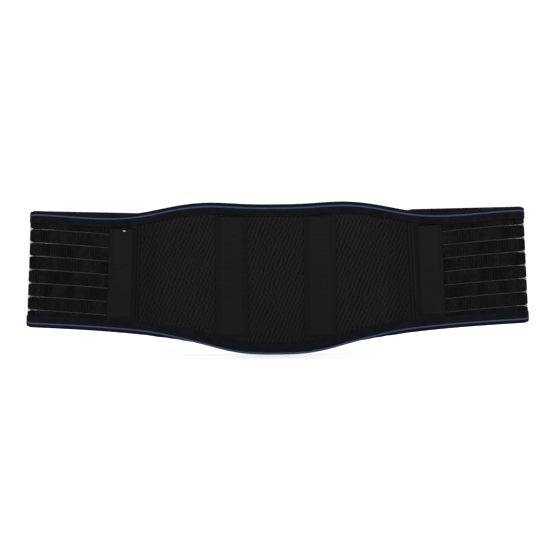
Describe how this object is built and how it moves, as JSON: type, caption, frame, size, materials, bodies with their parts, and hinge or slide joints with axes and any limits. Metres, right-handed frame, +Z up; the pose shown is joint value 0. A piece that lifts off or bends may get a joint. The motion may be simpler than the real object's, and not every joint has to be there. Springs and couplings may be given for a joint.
{
  "type": "lumbar support belt",
  "caption": "Elastic lumbar support belt with a padded mesh back, slide-out stays, folding elastic wings and a hook closing end.",
  "frame": {"origin": "middle of the wearer side of the back panel: on the lining, over the spine, half way up", "axes": "upright as worn and seen from the wearer: +X to the right along the belt, +Z up, +Y away from the body. left in a name is -X"},
  "size_m": [0.6722, 0.0136, 0.2046],
  "materials": {
    "mesh_lining": "matt open mesh",
    "foam": "matt foam",
    "outer_fabric": "matt brushed knit",
    "binding": "woven tape with one blue line",
    "pocket_tape": "smooth satin tape",
    "thread": "fine filament",
    "seam_tape": "woven tape",
    "elastic": "ribbed elastic",
    "hook": "hook tape",
    "loop_fabric": "brushed loop",
    "stay_tip": "dipped plastic",
    "stay": "sprung steel"
  },
  "bodies": {
    "back_panel": {"back_lining": "mesh_lining", "back_foam": "foam", "back_outer_fabric": "outer_fabric", "back_binding_top": "binding", "back_binding_bottom": "binding", "lumbar_pocket_base_left": "pocket_tape", "lumbar_pocket_cover_left": "pocket_tape", "lumbar_pocket_base_right": "pocket_tape", "lumbar_pocket_cover_right": "pocket_tape"},
    "left_side": {"side_lining_left": "mesh_lining", "side_foam_left": "foam", "side_outer_fabric_left": "outer_fabric", "side_binding_top_left": "binding", "side_binding_bottom_left": "binding"},
    "left_wing": {"wing_elastic_strips_left": "elastic", "wing_thread_ladders_left": "thread", "wing_seam_tape_left": "seam_tape", "wing_binding_top_left": "binding", "wing_binding_bottom_left": "binding", "side_pocket_base_left": "pocket_tape", "side_pocket_cover_left": "pocket_tape", "fold_bend_left": "elastic"},
    "left_front": {"front_elastic_strips_left": "elastic", "front_thread_ladders_left": "thread", "front_binding_top_left": "binding", "front_binding_bottom_left": "binding"},
    "left_end": {"closure_lining_left": "mesh_lining", "closure_core_left": "foam", "closure_outer_left": "loop_fabric", "end_binding_left": "binding"},
    "left_lumbar_stay": {"lumbar_stay_left": "stay", "lumbar_stay_tips_left": "stay_tip"},
    "left_side_stay": {"side_stay_left": "stay", "side_stay_tips_left": "stay_tip"},
    "right_side": {"side_lining_right": "mesh_lining", "side_foam_right": "foam", "side_outer_fabric_right": "outer_fabric", "side_binding_top_right": "binding", "side_binding_bottom_right": "binding"},
    "right_wing": {"wing_elastic_strips_right": "elastic", "wing_thread_ladders_right": "thread", "wing_seam_tape_right": "seam_tape", "wing_binding_top_right": "binding", "wing_binding_bottom_right": "binding", "side_pocket_base_right": "pocket_tape", "side_pocket_cover_right": "pocket_tape", "fold_bend_right": "elastic"},
    "right_front": {"front_elastic_strips_right": "elastic", "front_thread_ladders_right": "thread", "front_binding_top_right": "binding", "front_binding_bottom_right": "binding"},
    "right_end": {"closure_lining_right": "mesh_lining", "closure_core_right": "foam", "closure_outer_right": "loop_fabric", "end_binding_right": "binding", "hook_patch_right": "hook"},
    "right_lumbar_stay": {"lumbar_stay_right": "stay", "lumbar_stay_tips_right": "stay_tip"},
    "right_side_stay": {"side_stay_right": "stay", "side_stay_tips_right": "stay_tip"}
  },
  "joints": [
    {"name": "left_back_flex", "type": "hinge", "parent": "back_panel", "child": "left_side", "pos_m": [-0.084, -0.0009, 0], "axis": [0, 0, 1], "range_deg": [0, 40]},
    {"name": "left_side_flex", "type": "hinge", "parent": "left_side", "child": "left_wing", "pos_m": [-0.184, -0.0009, 0], "axis": [0, 0, 1], "range_deg": [0, 60]},
    {"name": "left_wing_fold", "type": "hinge", "parent": "left_wing", "child": "left_front", "pos_m": [-0.3258, 0.0042, 0.016], "axis": [0.0436, 0, 0.999], "range_deg": [0, 180], "deforming": ["fold_bend_left"]},
    {"name": "left_front_flex", "type": "hinge", "parent": "left_front", "child": "left_end", "pos_m": [-0.26052, 0.0093, 0.01411], "axis": [0.0296, 0, 0.9996], "range_deg": [0, 60]},
    {"name": "left_lumbar_stay_slide", "type": "slide", "parent": "back_panel", "child": "left_lumbar_stay", "axis": [0, 0, 1], "range_m": [0, 0.15]},
    {"name": "left_side_stay_slide", "type": "slide", "parent": "left_wing", "child": "left_side_stay", "axis": [0.0419, 0, 0.9991], "range_m": [0, 0.115]},
    {"name": "right_back_flex", "type": "hinge", "parent": "back_panel", "child": "right_side", "pos_m": [0.084, -0.0009, 0], "axis": [0, 0, -1], "range_deg": [0, 40]},
    {"name": "right_side_flex", "type": "hinge", "parent": "right_side", "child": "right_wing", "pos_m": [0.184, -0.0009, 0], "axis": [0, 0, -1], "range_deg": [0, 60]},
    {"name": "right_wing_fold", "type": "hinge", "parent": "right_wing", "child": "right_front", "pos_m": [0.3302, 0.0042, 0.016], "axis": [0.0366, 0, -0.9993], "range_deg": [0, 180], "deforming": ["fold_bend_right"]},
    {"name": "right_front_flex", "type": "hinge", "parent": "right_front", "child": "right_end", "pos_m": [0.26928, 0.0093, 0.01534], "axis": [0.0157, 0, -0.9999], "range_deg": [0, 60]},
    {"name": "right_lumbar_stay_slide", "type": "slide", "parent": "back_panel", "child": "right_lumbar_stay", "axis": [0, 0, 1], "range_m": [0, 0.15]},
    {"name": "right_side_stay_slide", "type": "slide", "parent": "right_wing", "child": "right_side_stay", "axis": [-0.0419, 0, 0.9991], "range_m": [0, 0.115]}
  ]
}
